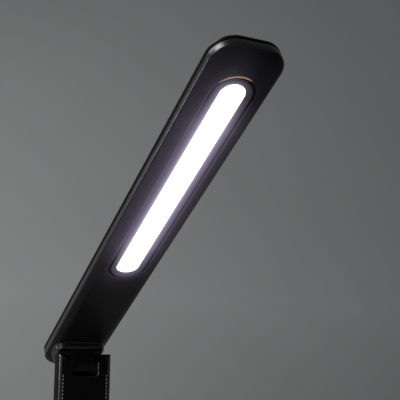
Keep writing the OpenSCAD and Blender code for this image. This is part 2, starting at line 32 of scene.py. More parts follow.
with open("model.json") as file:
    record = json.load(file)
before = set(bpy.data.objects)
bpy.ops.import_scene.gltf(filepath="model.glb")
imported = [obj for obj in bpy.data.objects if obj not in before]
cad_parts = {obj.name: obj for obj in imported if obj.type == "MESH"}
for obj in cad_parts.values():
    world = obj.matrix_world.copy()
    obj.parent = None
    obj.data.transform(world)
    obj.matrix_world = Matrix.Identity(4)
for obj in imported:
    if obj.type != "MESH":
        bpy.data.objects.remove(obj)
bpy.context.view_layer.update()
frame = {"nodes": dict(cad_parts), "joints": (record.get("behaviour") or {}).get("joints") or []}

metre = 0.001               # one millimetre in metres
slight = 0.02               # clearance that tells a flat face from a rounded one
scene = bpy.context.scene


# places that the frame gives

# one property of every vertex or face, as rows of three
def readRows(items, field):
    flat = np.zeros(len(items) * 3)
    items.foreach_get(field, flat)
    return flat.reshape(-1, 3)


# every vertex of a CAD node, in millimetres
def nodePoints(node):
    return readRows(frame["nodes"][node].data.vertices, "co") / metre


joints = {joint["name"]: joint for joint in frame["joints"]}
upperPin = np.array(joints["head_fold"]["pos_m"]) / metre
lowerPin = np.array(joints["stem_fold"]["pos_m"]) / metre
# at its lower limit the head stands in line with the stem
headLift = math.radians(90 + joints["head_fold"]["range_deg"][0])
headTurn = np.array(Matrix.Rotation(-headLift, 3, "X"))


# lowest and highest corner of a head node in the head's own level frame
def levelBox(node):
    level = (nodePoints(node) - upperPin) @ headTurn
    return level.min(0), level.max(0)


bezelLow, bezelHigh = levelBox("diffuser_bezel")
underside = bezelLow[2]
channelHalf = bezelHigh[0]
spineFront = bezelLow[1] + channelHalf      # ends of the window's centre line
spineRear = bezelHigh[1] - channelHalf


# from the head's level frame, y back from the pin and z up from the underside, to the scene's
def onUnderside(points):
    return (points + [0, 0, underside]) @ headTurn.T + upperPin


# camera and lights

def addObject(name, data):
    item = bpy.data.objects.new(name, data)
    scene.collection.objects.link(item)
    return item


cameraSet = {
    "place": (-0.18883, -0.49111, 0.35926),
    "yaw": 27.2355,         # degrees to the right of straight ahead
    "pitch": 11.6945,       # degrees up
    "roll": 0.12,
    "lens": 70.92,
    "sensor": 36.0,
}


def makeCamera(s):
    data = bpy.data.cameras.new("camera")
    data.lens = s["lens"]
    data.sensor_width = s["sensor"]
    camera = addObject("camera", data)
    turn = (Matrix.Rotation(math.radians(-s["yaw"]), 4, "Z")
            @ Matrix.Rotation(math.radians(90 + s["pitch"]), 4, "X")
            @ Matrix.Rotation(math.radians(s["roll"]), 4, "Z"))
    camera.matrix_world = Matrix.Translation(s["place"]) @ turn
    scene.camera = camera


makeCamera(cameraSet)
print("camera ready")

lightSet = {
    # name: place, what it points at, size, watts, colour
    "sideLight": ((-1.6, -0.5, 0.62), (0, 0.05, 0.36), 0.35, 14, (1, 0.99, 0.97)),
    "keyLight": ((-1.06, -0.02, 1.71), (0, -0.15, 0.5), 0.75, 19, (1, 1, 1)),
    "rearLight": ((-1.05, 1.0, 0.75), (0, -0.05, 0.42), 0.4, 4.1, (0.96, 0.94, 1)),
    "topLight": ((-0.9, 0.8, 1.9), (0, 0.2, 0), 1.3, 13, (1, 1, 1)),
}


def makeLights(s):
    for name, (place, target, size, watts, colour) in s.items():
        data = bpy.data.lights.new(name, "AREA")
        data.shape = "DISK"
        data.size = size
        data.energy = watts
        data.color = colour
        light = addObject(name, data)
        aim = (Vector(place) - Vector(target)).to_track_quat("Z", "Y")
        light.matrix_world = Matrix.Translation(place) @ aim.to_matrix().to_4x4()


makeLights(lightSet)

worldSet = {"colour": (0.86, 0.88, 0.9, 1), "strength": 0.13}


def makeWorld(s):
    world = bpy.data.worlds.new("softRoom")
    world.use_nodes = True
    background = world.node_tree.nodes["Background"]
    background.inputs["Color"].default_value = s["colour"]
    background.inputs["Strength"].default_value = s["strength"]
    scene.world = world


makeWorld(worldSet)
scene.view_settings.view_transform = "Standard"
print("lights ready")


# node helpers

# plugs numbers, colours and other nodes' outputs into a node's inputs
def plugIn(tree, node, values):
    for name, value in values.items():
        socket = node.inputs[name]
        if isinstance(value, bpy.types.NodeSocket):
            tree.links.new(value, socket)
        elif socket.type == "RGBA":
            socket.default_value = (*value, 1)
        else:
            socket.default_value = value
    return node


def addNode(tree, kind, values, **settings):
    node = tree.nodes.new("ShaderNode" + kind)
    for name, value in settings.items():
        setattr(node, name, value)
    return plugIn(tree, node, values)


def mathNode(tree, operation, first, second=None):
    values = {0: first} if second is None else {0: first, 1: second}
    return addNode(tree, "Math", values, operation=operation).outputs[0]


# the value's range from low to high, stretched and cut to toLow to toHigh
def spread(tree, value, low, high, toLow=0.0, toHigh=1.0):
    return addNode(tree, "MapRange", {"Value": value, "From Min": low, "From Max": high,
                                      "To Min": toLow, "To Max": toHigh}).outputs["Result"]


# an empty node group with float inputs (name: start value) and named outputs
def newGroup(name, inputs, outputs):
    group = bpy.data.node_groups.new(name, "ShaderNodeTree")
    for socketName, start in inputs.items():
        socket = group.interface.new_socket(socketName, in_out="INPUT",
                                            socket_type="NodeSocketFloat")
        socket.default_value = start
    for socketName in outputs:
        group.interface.new_socket(socketName, in_out="OUTPUT", socket_type="NodeSocketFloat")
    return group, group.nodes.new("NodeGroupInput"), group.nodes.new("NodeGroupOutput")


def useGroup(tree, group, values):
    return addNode(tree, "Group", values, node_tree=group)


def noise(tree, place, scale, detail=3.0, roughness=0.55):
    return addNode(tree, "TexNoise", {"Vector": place, "Scale": scale, "Detail": detail,
                                      "Roughness": roughness}).outputs["Fac"]


def objectPlace(tree):
    return addNode(tree, "TexCoord", {}).outputs["Object"]


def blendColours(tree, share, low, high, blend="MIX"):
    return addNode(tree, "Mix", {0: share, 6: low, 7: high}, data_type="RGBA",
                   blend_type=blend).outputs[2]


# what most finishes set; the bump has a real depth in millimetres
def surface(tree, colour, rough, specular, height, depth):
    bump = addNode(tree, "Bump", {"Height": height, "Distance": depth * metre})
    return {"Base Color": colour, "Roughness": rough, "Specular IOR Level": specular,
            "Normal": bump.outputs["Normal"]}


# shared effects

# fine spark-eroded texture of a moulding: small cells under finer noise
def makeGrainGroup():
    group, source, result = newGroup("mouldGrain", {"Scale": 2600, "Cells": 0.5},
                                     ["Height", "Speck"])
    calc = partial(mathNode, group)
    place, scale = objectPlace(group), source.outputs["Scale"]
    fine = noise(group, place, scale, 4, 0.6)
    cells = addNode(group, "TexVoronoi", {"Vector": place, "Scale": calc("MULTIPLY", scale, 0.6)})
    pebble = calc("MULTIPLY", cells.outputs["Distance"], source.outputs["Cells"])
    plugIn(group, result, {"Height": calc("ADD", fine, pebble),
                           "Speck": spread(group, fine, 0.62, 0.8)})
    return group


# handling marks: wide soft patches, and fine rubbed streaks along the parts
def makeWearGroup():
    group, source, result = newGroup("handling", {"Patch": 28, "Streak": 160},
                                     ["Patches", "Streaks"])
    place = objectPlace(group)
    patches = noise(group, place, source.outputs["Patch"], 3, 0.5)
    squeeze = addNode(group, "Mapping", {"Vector": place, "Scale": (1, 0.12, 0.12)})
    streaks = noise(group, squeeze.outputs["Vector"], source.outputs["Streak"], 5, 0.65)
    plugIn(group, result, {"Patches": spread(group, patches, 0.35, 0.7),
                           "Streaks": spread(group, streaks, 0.5, 0.75)})
    return group


# pebbled leather: cells parted by creases at two sizes, with pores and tone patches
def makeLeatherGroup():
    group, source, result = newGroup("leatherGrain", {"Scale": 900}, ["Height", "Crease", "Tone"])
    calc = partial(mathNode, group)
    place = objectPlace(group)
    bend = addNode(group, "TexNoise", {"Vector": place, "Scale": 700, "Detail": 2})
    shifted = addNode(group, "VectorMath", {0: bend.outputs["Color"], 1: [0.0007] * 3, 2: place},
                      operation="MULTIPLY_ADD")
    creases = []
    for share in (1.0, 2.3):
        scale = calc("MULTIPLY", source.outputs["Scale"], share)
        cells = addNode(group, "TexVoronoi", {"Vector": shifted.outputs[0], "Scale": scale},
                        feature="DISTANCE_TO_EDGE")
        creases.append(spread(group, cells.outputs["Distance"], 0.0, 0.16))
    pores = spread(group, noise(group, place, 5200, 2, 0.5), 0.3, 0.55)
    height = calc("ADD", calc("MULTIPLY", creases[0], 0.6), calc("MULTIPLY", creases[1], 0.25))
    plugIn(group, result, {
        "Height": calc("ADD", height, calc("MULTIPLY", pores, 0.15)),
        "Crease": calc("SUBTRACT", 1.0, creases[0]),
        "Tone": spread(group, noise(group, place, 45, 3, 0.5), 0.3, 0.7)})
    return group


# painted glow: emission on the plastic and copper round the window, standing for the window's light
# on them
paintedGlowSet = {
    "tint": (0.79, 0.68, 1),
    "edge": 7.4,            # distance from the window's centre line where it starts
    # strength, halving distance, how far it leans to one side
    "parts": [(0.36, 1.4, 0.06), (0.122, 4.4, 0.4), (0.018, 14, 0.1)],
    "fadeLength": 24,
    # share lost at each end: on the left and on the right
    "frontLoss": (0.47, 0.86),
    "rearLoss": (0.78, 0.6),
}


# Painted glow: emission that stands for the window's light on what surrounds it. It halves over
# and over at equal steps of distance from the window's edge, in three parts of growing reach.
# Each part may be stronger on one side of the head than on the other, and all fade towards the
# window's ends.
def makePaintedGlowGroup(s):
    group, _, result = newGroup("paintedWindowGlow", {}, ["PaintedGlow", "Fade"])
    calc = partial(mathNode, group)
    edge, fadeLength = s["edge"] * metre, s["fadeLength"] * metre
    level = addNode(group, "Mapping", {"Vector": objectPlace(group), "Rotation": (headLift, 0, 0),
                                       "Location": -(upperPin @ headTurn) * metre})
    split = addNode(group, "SeparateXYZ", {"Vector": level.outputs["Vector"]})
    across = split.outputs["X"]
    along = calc("SUBTRACT", split.outputs["Y"], (spineFront + spineRear) / 2 * metre)
    past = calc("SUBTRACT", calc("ABSOLUTE", along), (spineRear - spineFront) / 2 * metre)
    outside = calc("MAXIMUM", past, 0.0)
    squares = calc("ADD", calc("MULTIPLY", outside, outside), calc("MULTIPLY", across, across))
    away = calc("MAXIMUM", calc("SUBTRACT", calc("SQRT", squares), edge), 0.0)
    total = 0.0
    for strength, halving, lean in s["parts"]:
        share = calc("POWER", 0.5, calc("DIVIDE", away, halving * metre))
        sideShare = spread(group, across, -edge, edge, strength * (1 + lean), strength * (1 - lean))
        total = calc("ADD", total, calc("MULTIPLY", share, sideShare))
    # the loss at an end differs from side to side and between the front and rear ends
    frontLoss, rearLoss = (spread(group, across, -edge, edge, *s[key])
                           for key in ("frontLoss", "rearLoss"))
    rear = spread(group, along, -fadeLength, fadeLength)
    loss = calc("ADD", calc("MULTIPLY", frontLoss, calc("SUBTRACT", 1.0, rear)),
                calc("MULTIPLY", rearLoss, rear))
    nearEnd = spread(group, past, -fadeLength, 0.0)
    fade = calc("SUBTRACT", 1.0, calc("MULTIPLY", nearEnd, loss))
    plugIn(group, result, {"PaintedGlow": calc("MULTIPLY", total, fade), "Fade": fade})
    return group


grainGroup = makeGrainGroup()
wearGroup = makeWearGroup()
leatherGroup = makeLeatherGroup()
paintedGlowGroup = makePaintedGlowGroup(paintedGlowSet)


# materials

finishes = {}


# a material whose shader takes the values that the builder works out
def addFinish(name, builder, *settings):
    material = bpy.data.materials.new(name)
    material.use_nodes = True
    tree = material.node_tree
    plugIn(tree, tree.nodes["Principled BSDF"], builder(tree, *settings))
    finishes[name] = material


# painted glow on a finish: emission that stands for the window's light; in a recess it fades once
# more towards the window's ends
def addPaintedGlow(tree, strength, recessed=False):
    spill = useGroup(tree, paintedGlowGroup, {})
    share = spill.outputs["PaintedGlow"]
    if recessed:
        share = mathNode(tree, "MULTIPLY", share, spill.outputs["Fade"])
    return {"Emission Strength": strength,
            "Emission Color": blendColours(tree, share, (0, 0, 0), paintedGlowSet["tint"])}


# moulding with fine grain, soft handling patches and slightly polished streaks, and the window's
# painted glow where one is given
def mouldedPlastic(tree, colour, worn, specular, rough, polish, grainScale, depth, *spill):
    grain = useGroup(tree, grainGroup, {"Scale": grainScale})
    wear = useGroup(tree, wearGroup, {})
    values = surface(tree, blendColours(tree, wear.outputs["Patches"], colour, worn),
                     spread(tree, wear.outputs["Streaks"], 0, 1, rough, rough - polish), specular,
                     grain.outputs["Height"], depth)
    return values | addPaintedGlow(tree, *spill) if spill else values


plasticSet = {
    # name: colour, worn colour, specular, roughness, polish, grain's scale and depth, and for the
    # window's painted glow: how strongly, and True in a recess
    "shellBlack": ((0.005, 0.005, 0.0054), (0.008, 0.008, 0.0085), 0.18, 0.42, 0.07, 2600, 0.012),
    # the underside carries the window's painted glow
    "undersideBlack": ((0.006, 0.006, 0.0063), (0.0085, 0.0085, 0.009), 0.04, 0.42, 0.07, 2600,
                       0.012, 1.0),
    "wallBlack": ((0.0045, 0.0045, 0.0048), (0.007, 0.007, 0.0074), 0.38, 0.3, 0.05, 2600, 0.006),
    "coverBlack": ((0.0035, 0.0035, 0.0038), (0.006, 0.006, 0.0063), 0.01, 0.36, 0.08, 2600, 0.01),
    "yokeBlack": ((0.0035, 0.0035, 0.0037), (0.005, 0.005, 0.0053), 0.07, 0.36, 0.08, 3200, 0.012),
    "knuckleBlack": ((0.0045, 0.0045, 0.0048), (0.007, 0.007, 0.0074), 0.07, 0.32, 0.06, 3000,
                     0.01),
    # the bezel carries the window's painted glow
    "bezelBlack": ((0.015, 0.015, 0.017), (0.02, 0.02, 0.022), 0.3, 0.34, 0.06, 3400, 0.01, 1.0),
    # the channel: darker than the bezel, with a weaker painted glow that fades at the ends, as
    # painted shade in the recess
    "channelShadeBlack": ((0.004, 0.004, 0.0045), (0.006, 0.006, 0.0065), 0.08, 0.5, 0.06, 3400, 0.01,
                     0.85, True),
    "touchGloss": ((0.006, 0.006, 0.007), (0.009, 0.009, 0.01), 0.6, 0.16, 0.06, 600, 0.002),
    "rubberBlack": ((0.018, 0.018, 0.018), (0.028, 0.028, 0.027), 0.3, 0.85, 0.1, 1500, 0.05),
    "printGrey": ((0.42, 0.42, 0.43), (0.34, 0.34, 0.35), 0.4, 0.5, 0.08, 3000, 0.004),
    "frameWhite": ((0.8, 0.8, 0.8), (0.74, 0.74, 0.73), 0.5, 0.5, 0.08, 2400, 0.01),
    "boardWhite": ((0.82, 0.82, 0.79), (0.76, 0.76, 0.72), 0.5, 0.35, 0.08, 1800, 0.01),
    "boardGreen": ((0.012, 0.11, 0.045), (0.015, 0.14, 0.06), 0.5, 0.35, 0.1, 1200, 0.02),
    "chipYellow": ((0.85, 0.7, 0.12), (0.8, 0.62, 0.1), 0.5, 0.3, 0.05, 2400, 0.01),
    "cableGrey": ((0.5, 0.5, 0.5), (0.42, 0.42, 0.42), 0.4, 0.55, 0.1, 1400, 0.02),
    "fibreBrown": ((0.014, 0.012, 0.01), (0.024, 0.02, 0.016), 0.25, 0.7, 0.15, 1600, 0.03),
}
for name, row in plasticSet.items():
    addFinish(name, mouldedPlastic, *row)


# two tones in soft patches, rougher along fine drawn or rubbed lines
def linedFinish(tree, colour, worn, rough, patches, lines, depth, metallic, specular):
    wear = useGroup(tree, wearGroup, {"Patch": patches, "Streak": lines})
    streaks = wear.outputs["Streaks"]
    colours = blendColours(tree, wear.outputs["Patches"], colour, worn)
    return surface(tree, colours, spread(tree, streaks, 0, 1, *rough), specular, streaks,
                   depth) | {"Metallic": metallic}


linedSet = {
    # name: colour, worn colour, roughness, scales of patches and lines, depth, metallic, specular
    "steelZinc": ((0.55, 0.55, 0.56), (0.46, 0.46, 0.48), (0.3, 0.44), 60, 900, 0.01, 1, 0.5),
    "aluminiumPlain": ((0.72, 0.73, 0.74), (0.64, 0.65, 0.67), (0.34, 0.48), 60, 1200, 0.01, 1,
                       0.5),
    "ballastSteel": ((0.32, 0.32, 0.33), (0.25, 0.24, 0.24), (0.42, 0.56), 60, 500, 0.02, 1, 0.5),
    # the leather's painted and burnished cut edge
    "burnishedEdge": ((0.012, 0.0115, 0.011), (0.022, 0.021, 0.02), (0.2, 0.3), 90, 500, 0.03, 0,
                      0.75),
}
for name, row in linedSet.items():
    addFinish(name, linedFinish, *row)

copperSet = {
    # bright copper, its wear, and the near black of the painted shade along the sides
    "bright": (1, 0.58, 0.36), "worn": (0.96, 0.53, 0.31), "toned": (0.012, 0.009, 0.008),
    "rough": 0.3, "specular": 0.5, "depth": 0.01,
    "slant": -0.26,         # sideways lean of the direction in which the painted shade sets in
    "fade": (9.8, 10.7),    # where it changes, ahead of the centre line's front end
    "patches": 120, "lines": 900, "spill": 1.55,
}


# copper plating: bright round the tip's arc as a painted reflection, dark along the sides as
# painted shade, with the window's painted glow
def copperPlate(tree, s):
    wear = useGroup(tree, wearGroup, {"Patch": s["patches"], "Streak": s["lines"]})
    bright = blendColours(tree, wear.outputs["Patches"], s["bright"], s["worn"])
    ahead = np.array([s["slant"], -1, 0]) @ headTurn.T
    start = onUnderside(np.array([0, spineFront, 0])) @ ahead
    place = addNode(tree, "VectorMath", {0: objectPlace(tree), 1: ahead}, operation="DOT_PRODUCT")
    edges = [(start + past) * metre for past in s["fade"]]
    toned = spread(tree, place.outputs["Value"], *edges, 1.0, 0.0)
    plate = surface(tree, blendColours(tree, toned, bright, s["toned"]), s["rough"],
                    s["specular"], wear.outputs["Streaks"], s["depth"])
    return plate | {"Metallic": 1.0} | addPaintedGlow(tree, s["spill"])


diffuserSet = {
    "body": (0.85, 0.86, 0.88), "rough": 0.45, "light": (1, 0.97, 1), "speck": (0.97, 0.95, 1),
    "strength": 2.0, "specular": 0.5, "grainScale": 3000, "cells": 0.3, "depth": 0.02}


# frosted cover, lit from behind, with a little cooler specks
def litDiffuser(tree, s):
    frost = useGroup(tree, grainGroup, {"Scale": s["grainScale"], "Cells": s["cells"]})
    light = blendColours(tree, frost.outputs["Speck"], s["light"], s["speck"])
    return surface(tree, s["body"], s["rough"], s["specular"], frost.outputs["Height"],
                   s["depth"]) | {"Emission Strength": s["strength"], "Emission Color": light}


leatherSet = {
    "colour": (0.0036, 0.0035, 0.0034), "worn": (0.006, 0.0058, 0.0056),
    # painted shade in the creases
    "crease": (0.45, 0.45, 0.45),       # what a crease leaves of the colour
    "rough": (0.4, 0.62), "specular": 0.035, "grainScale": 1000, "depth": 0.035}


# black pebbled leather: creases darkened by painted shade and duller, and worn, smoother high spots
def leatherSkin(tree, s):
    grain = useGroup(tree, leatherGroup, {"Scale": s["grainScale"]})
    crease = grain.outputs["Crease"]
    top = blendColours(tree, grain.outputs["Tone"], s["colour"], s["worn"])
    return surface(tree, blendColours(tree, crease, top, s["crease"], "MULTIPLY"),
                   spread(tree, crease, 0, 1, *s["rough"]), s["specular"],
                   grain.outputs["Height"], s["depth"])


threadSet = {
    # the twist's hollows are darker than its strands: painted shade
    "hollow": (0.12, 0.118, 0.115), "strand": (0.2, 0.196, 0.19), "rough": 0.42, "specular": 0.5,
    "twist": 620, "depth": 0.05}


# black waxed thread with the twist of its strands, and painted shade in the hollows between them
def waxedThread(tree, s):
    wave = addNode(tree, "TexWave", {"Vector": objectPlace(tree), "Scale": s["twist"],
                                     "Distortion": 1.5, "Detail": 1}, bands_direction="DIAGONAL")
    twist = wave.outputs["Fac"]
    return surface(tree, blendColours(tree, twist, s["hollow"], s["strand"]), s["rough"],
                   s["specular"], twist, s["depth"])


paperSet = {
    "tones": ((0.56, 0.563, 0.568), (0.6, 0.603, 0.608)),
    # painted shade: the floor is made darker than the wall
    "floorShare": (0.75, 0.75, 0.75),   # what the floor keeps of the wall's tone
    "change": (0.62, 0.2),              # heights between which it turns from one to the other
    "rough": 0.9, "specular": 0.1}


# pale studio paper with a faint tone of its own, and painted shade that makes it greyer on the
# floor than on the wall
def paperBackdrop(tree, s):
    place = objectPlace(tree)
    split = addNode(tree, "SeparateXYZ", {"Vector": place})
    tone = blendColours(tree, noise(tree, place, 3, 2), *s["tones"])
    low = spread(tree, split.outputs["Z"], *s["change"])
    return {"Base Color": blendColours(tree, low, tone, s["floorShare"], "MULTIPLY"),
            "Roughness": s["rough"], "Specular IOR Level": s["specular"]}


addFinish("copperPlate", copperPlate, copperSet)
addFinish("litDiffuser", litDiffuser, diffuserSet)
addFinish("leatherSkin", leatherSkin, leatherSet)
addFinish("waxedThread", waxedThread, threadSet)
addFinish("paperBackdrop", paperBackdrop, paperSet)
print("materials ready")


# shape helpers

def unit(vectors):
    return vectors / np.maximum(np.linalg.norm(vectors, axis=-1, keepdims=True), 1e-9)


# Path through the corners of an outline, each rounded by an arc. The arc's centre lies on the
# corner's bisector, at the radius divided by the sine of half the corner's angle.
def filletPath(corners, radii, steps):
    corners = np.array(corners, float)
    path = []
    for k, radius in enumerate(radii):
        corner = corners[k]
        if radius == 0:
            path.append(corner[None])
            continue
        back = unit(corners[k - 1] - corner)
        ahead = unit(corners[(k + 1) % len(corners)] - corner)
        half = math.acos(np.clip(back @ ahead, -1, 1)) / 2
        centre = corner + unit(back + ahead) * radius / math.sin(half)
        first = corner + back * radius / math.tan(half) - centre
        last = corner + ahead * radius / math.tan(half) - centre
        sweep = math.pi - 2 * half
        step = np.linspace(0, 1, steps + 1)[:, None]
        arc = (np.sin((1 - step) * sweep) * first + np.sin(step * sweep) * last) / math.sin(sweep)
        path.append(centre + arc)
    return np.concatenate(path)


# the path again, as count points at even distances along it
def evenSteps(path, count, closed=False):
    if closed:
        path = np.vstack([path, path[:1]])
    distance = np.concatenate([[0], np.cumsum(np.linalg.norm(np.diff(path, axis=0), axis=1))])
    marks = np.linspace(0, distance[-1], count, endpoint=not closed)
    return np.stack([np.interp(marks, distance, path[:, k]) for k in range(path.shape[1])], 1)


# unit normals of a flat path: its direction, from the points on both sides, turned a quarter to
# the right, which is outwards when it runs anticlockwise
def sideNormals(path, closed=True):
    if closed:
        along = np.roll(path, -1, 0) - np.roll(path, 1, 0)
    else:
        along = np.gradient(path, axis=0)
    along = unit(along)
    return np.stack([along[:, 1], -along[:, 0]], 1)


# points of an arc about the origin
def arcSteps(radius, fromDegrees, toDegrees, steps):
    angle = np.radians(np.linspace(fromDegrees, toDegrees, steps + 1))
    return radius * np.stack([np.cos(angle), np.sin(angle)], 1)


# even points round a rectangle with a radius for each corner, from the lowest anticlockwise, and
# their outward normals; a round end's radius is a hair under half the width
def roundedBox(low, high, radii, count):
    (left, front), (right, rear) = low, high
    corners = [(left, front), (right, front), (right, rear), (left, rear)]
    outline = evenSteps(filletPath(corners, radii, 24), count, closed=True)
    return outline, sideNormals(outline)


# the bmesh goes back into its mesh, smooth but for edges where faces meet at more than the angle
def smoothMesh(mesh, work, angle):
    work.to_mesh(mesh)
    work.free()
    mesh.shade_smooth()
    mesh.set_sharp_from_angle(angle=angle)
    return mesh


# A mesh from points in millimetres. Doubled points are merged and faces turned outwards.
def makeMesh(name, points, faces, smoothAngle=35):
    mesh = bpy.data.meshes.new(name)
    mesh.from_pydata((points * metre).tolist(), [], faces.tolist())
    work = bmesh.new()
    work.from_mesh(mesh)
    bmesh.ops.remove_doubles(work, verts=work.verts, dist=1e-6)
    if work.calc_volume(signed=True) < 0:
        bmesh.ops.reverse_faces(work, faces=work.faces)
    return smoothMesh(mesh, work, math.radians(smoothAngle))


# the four corners of each cell of a grid of points
def gridFaces(rows, columns, wrapRows=False, wrapColumns=False):
    index = np.arange(rows * columns).reshape(rows, columns)
    if wrapRows:
        index = np.vstack([index, index[:1]])
    if wrapColumns:
        index = np.hstack([index, index[:, :1]])
    cells = [index[:-1, :-1], index[:-1, 1:], index[1:, 1:], index[1:, :-1]]
    return np.stack(cells, -1).reshape(-1, 4)


# puts a mesh in the scene on its body, with its finish and the nodes that it stands for
def addPiece(name, mesh, body, finish, replaced=()):
    piece = addObject(name, mesh)
    mesh.materials.append(finishes[finish])
    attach(piece, body)
    if replaced:
        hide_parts(*replaced)
    return piece


# a piece from a grid of points whose columns run round it; the head's are in its level frame
def sweptPiece(name, grid, body, finish, replaced=(), wrapRows=True):
    points = grid.reshape(-1, 3)
    if body == "head":
        points = onUnderside(points)
    mesh = makeMesh(name, points, gridFaces(*grid.shape[:2], wrapRows, True))
    return addPiece(name, mesh, body, finish, replaced)


# rows of points from flat places and a height for each row
def raised(flat, height):
    height = np.broadcast_to(height[:, None, None], flat.shape[:2] + (1,))
    return np.concatenate([flat, height], 2)


# a section's rows from columns that are one number or a number for each row
def sectionRows(*columns):
    return np.column_stack(np.broadcast_arrays(*map(np.atleast_1d, columns)))


# Rows of a capped form: each section row is (share, inset, height). A share of 1 is the outline
# moved inwards by the inset, and 0 is the centre.
def capRows(outline, normal, section, centre):
    share, inset = section[:, 0, None, None], section[:, 1, None, None]
    return raised(centre * (1 - share) + (outline - inset * normal) * share, section[:, 2])


# head

shellLow, shellHigh = levelBox("head_bottom_shell")

headSet = {
    "tipCorner": 13.7,
    "rearCorner": 17,
    "around": 520,          # points round the outline
    "inside": 0.01,         # keeps the rounding of numbers inside the frame's box
    "wallTop": shellHigh[2] - underside,
    "belly": 2.9,           # depth of the belly below the side wall
    "flank": 7.0,           # from the head's outline to the belly's flat
    "bead": 0.63,           # width of the rounded bead between the flank and the side wall
    "beadFoot": 0.06,
    "edgeRound": 0.58,
    "lipRound": 0.15,
    "wall": 1.6,
    "hollow": 4.2,          # from the side wall to the hollow over the flank
    "hollowTop": 3.7,
    "floor": 1.8,
    "flatSteps": 14,
    "flankSteps": 12,
}


# nearest point to each on a centre line, which is the window's unless its ends are given
def centreLine(points, front=spineFront, rear=spineRear):
    return np.stack([np.zeros(len(points)), np.clip(points[:, 1], front, rear)], 1)


# the shell's box seen from below, with rounder corners at the rear than at the tip
def headOutline(s):
    low, high = shellLow[:2] + s["inside"], shellHigh[:2] - s["inside"]
    radii = [s["tipCorner"], s["tipCorner"], s["rearCorner"], s["rearCorner"]]
    return roundedBox(low, high, radii, s["around"])


# distance inwards from the head's outline: that of a box with a rounded corner at each end
def outlineInset(points):
    centre = (shellLow[:2] + shellHigh[:2]) / 2
    half = (shellHigh[:2] - shellLow[:2]) / 2
    radius = np.where(points[..., 1] < centre[1], headSet["tipCorner"], headSet["rearCorner"])
    past = np.abs(points - centre) - half + radius[..., None]
    outside = np.linalg.norm(np.maximum(past, 0), axis=-1)
    return radius - outside - np.minimum(past.max(-1), 0)


# Height of the flank above the belly, at a distance inwards from the head's outline. The flank is
# an arc that leaves the belly level and ends at the bead. Its radius is the sum of the squared run
# and rise over twice the rise.
def flankHeight(inset, s):
    run, rise = s["flank"] - s["bead"], s["belly"]
    radius = (run ** 2 + rise ** 2) / (2 * rise)
    across = np.clip(s["flank"] - inset, 0, run)
    return radius - np.sqrt(radius ** 2 - across ** 2)


# each point is a share of the way from the window's hole to the outline, at a height from the
# section: hole edge, belly, flank, wall, lip, hollow, floor
def headShell(s):
    outline, normal = headOutline(s)
    spine = centreLine(outline)
    ray = unit(outline - spine)
    lip, top = s["lipRound"], s["wallTop"]
    cut = lip * 0.3         # the middle of the lip's rounded edge
    holeArc = lip - arcSteps(lip, 0, 90, 4)
    flat = np.linspace(0, 1, s["flatSteps"] + 1)[1:-1]
    # insets and heights from the belly's edge over the flank and the bead to the wall's top
    inset = np.linspace(s["flank"], s["bead"], s["flankSteps"] + 1)
    arc = np.stack([inset, flankHeight(inset, s)], 1)
    side = filletPath(np.vstack([arc, [[0, s["belly"]], [0, top]]]),
                      [0] * s["flankSteps"] + [s["beadFoot"], s["edgeRound"], 0], 6)[:-1]
    back = [(0, (s["belly"] + top) / 2), (0, top - lip), (cut, top - cut), (lip, top),
            (s["wall"], top), (s["wall"], s["hollowTop"]), (s["hollow"], s["hollowTop"]),
            (s["hollow"], s["floor"])]
    section = np.concatenate([
        # share, hole moved outwards, outline moved inwards, height
        sectionRows(0, 0, 0, s["floor"]),
        sectionRows(0, holeArc[:, 0], 0, holeArc[:, 1]),
        sectionRows(flat, lip, s["flank"], 0),
        sectionRows(1, 0, *side.T),
        sectionRows(1, 0, *np.transpose(back)),
        sectionRows(flat[::-1], 0, s["hollow"], s["floor"]),
    ])
    hole = spine + ray * (channelHalf + section[:, 1, None, None])
    return capRows(outline, normal, section[:, [0, 2, 3]], hole)


shellPiece = sweptPiece("headShell", headShell(headSet), "head", "undersideBlack",
                        ["head_bottom_shell"])


# centres of a piece's faces in the head's level frame, up from the belly
def levelCentres(piece):
    centres = readRows(piece.data.polygons, "center") / metre
    return (centres - upperPin) @ headTurn - [0, 0, underside]


# gives the chosen faces a finish of their own
def secondFinish(piece, finish, chosen):
    piece.data.materials.append(finishes[finish])
    piece.data.polygons.foreach_set("material_index", chosen.astype(np.int32))


# the side wall is smoother than the belly
shellInset = outlineInset(levelCentres(shellPiece)[:, :2])
secondFinish(shellPiece, "wallBlack", shellInset < headSet["edgeRound"])

bossSet = {
    "halfWidth": 18,
    "front": -6.2,          # measured back from the upper pin
    "rear": 24.4,
    "frontCorner": 7,
    "rearCorner": 17.9,
    "height": 4.3,
    "edgeRound": 2,
    "footRound": 0.7,       # fillet between the boss and the face that it stands on
    "root": 0.8,            # how far it reaches into the shell
    "around": 220,
}


# from inside the shell out along the foot fillet, down the wall, round the edge to the middle
def bossSection(s):
    foot, edge, height = s["footRound"], s["edgeRound"], s["height"]
    rows = [[0, 0, s["root"]], [1, -foot, s["root"]]]
    rows += [[1, -foot - x, -foot + z] for x, z in arcSteps(foot, 90, 180, 5)]
    rows += [[1, edge - x, -height + edge - z] for x, z in arcSteps(edge, 0, 90, 8)]
    rows += [[0.7, edge, -height], [0.35, edge, -height], [0, edge, -height]]
    return np.array(rows)


# a capped form whose root and foot fillet stand on the shell's belly and flank
def headBoss(s):
    outline, normal = roundedBox((-s["halfWidth"], s["front"]), (s["halfWidth"], s["rear"]),
                                 [s["frontCorner"]] * 2 + [s["rearCorner"]] * 2, s["around"])
    centre = np.array([0, (s["front"] + s["rear"]) / 2])
    grid = capRows(outline, normal, bossSection(s), centre)
    onShell = grid[..., 2] > -s["footRound"] - 1e-6
    grid[..., 2] += onShell * flankHeight(outlineInset(grid[..., :2]), headSet)
    return grid


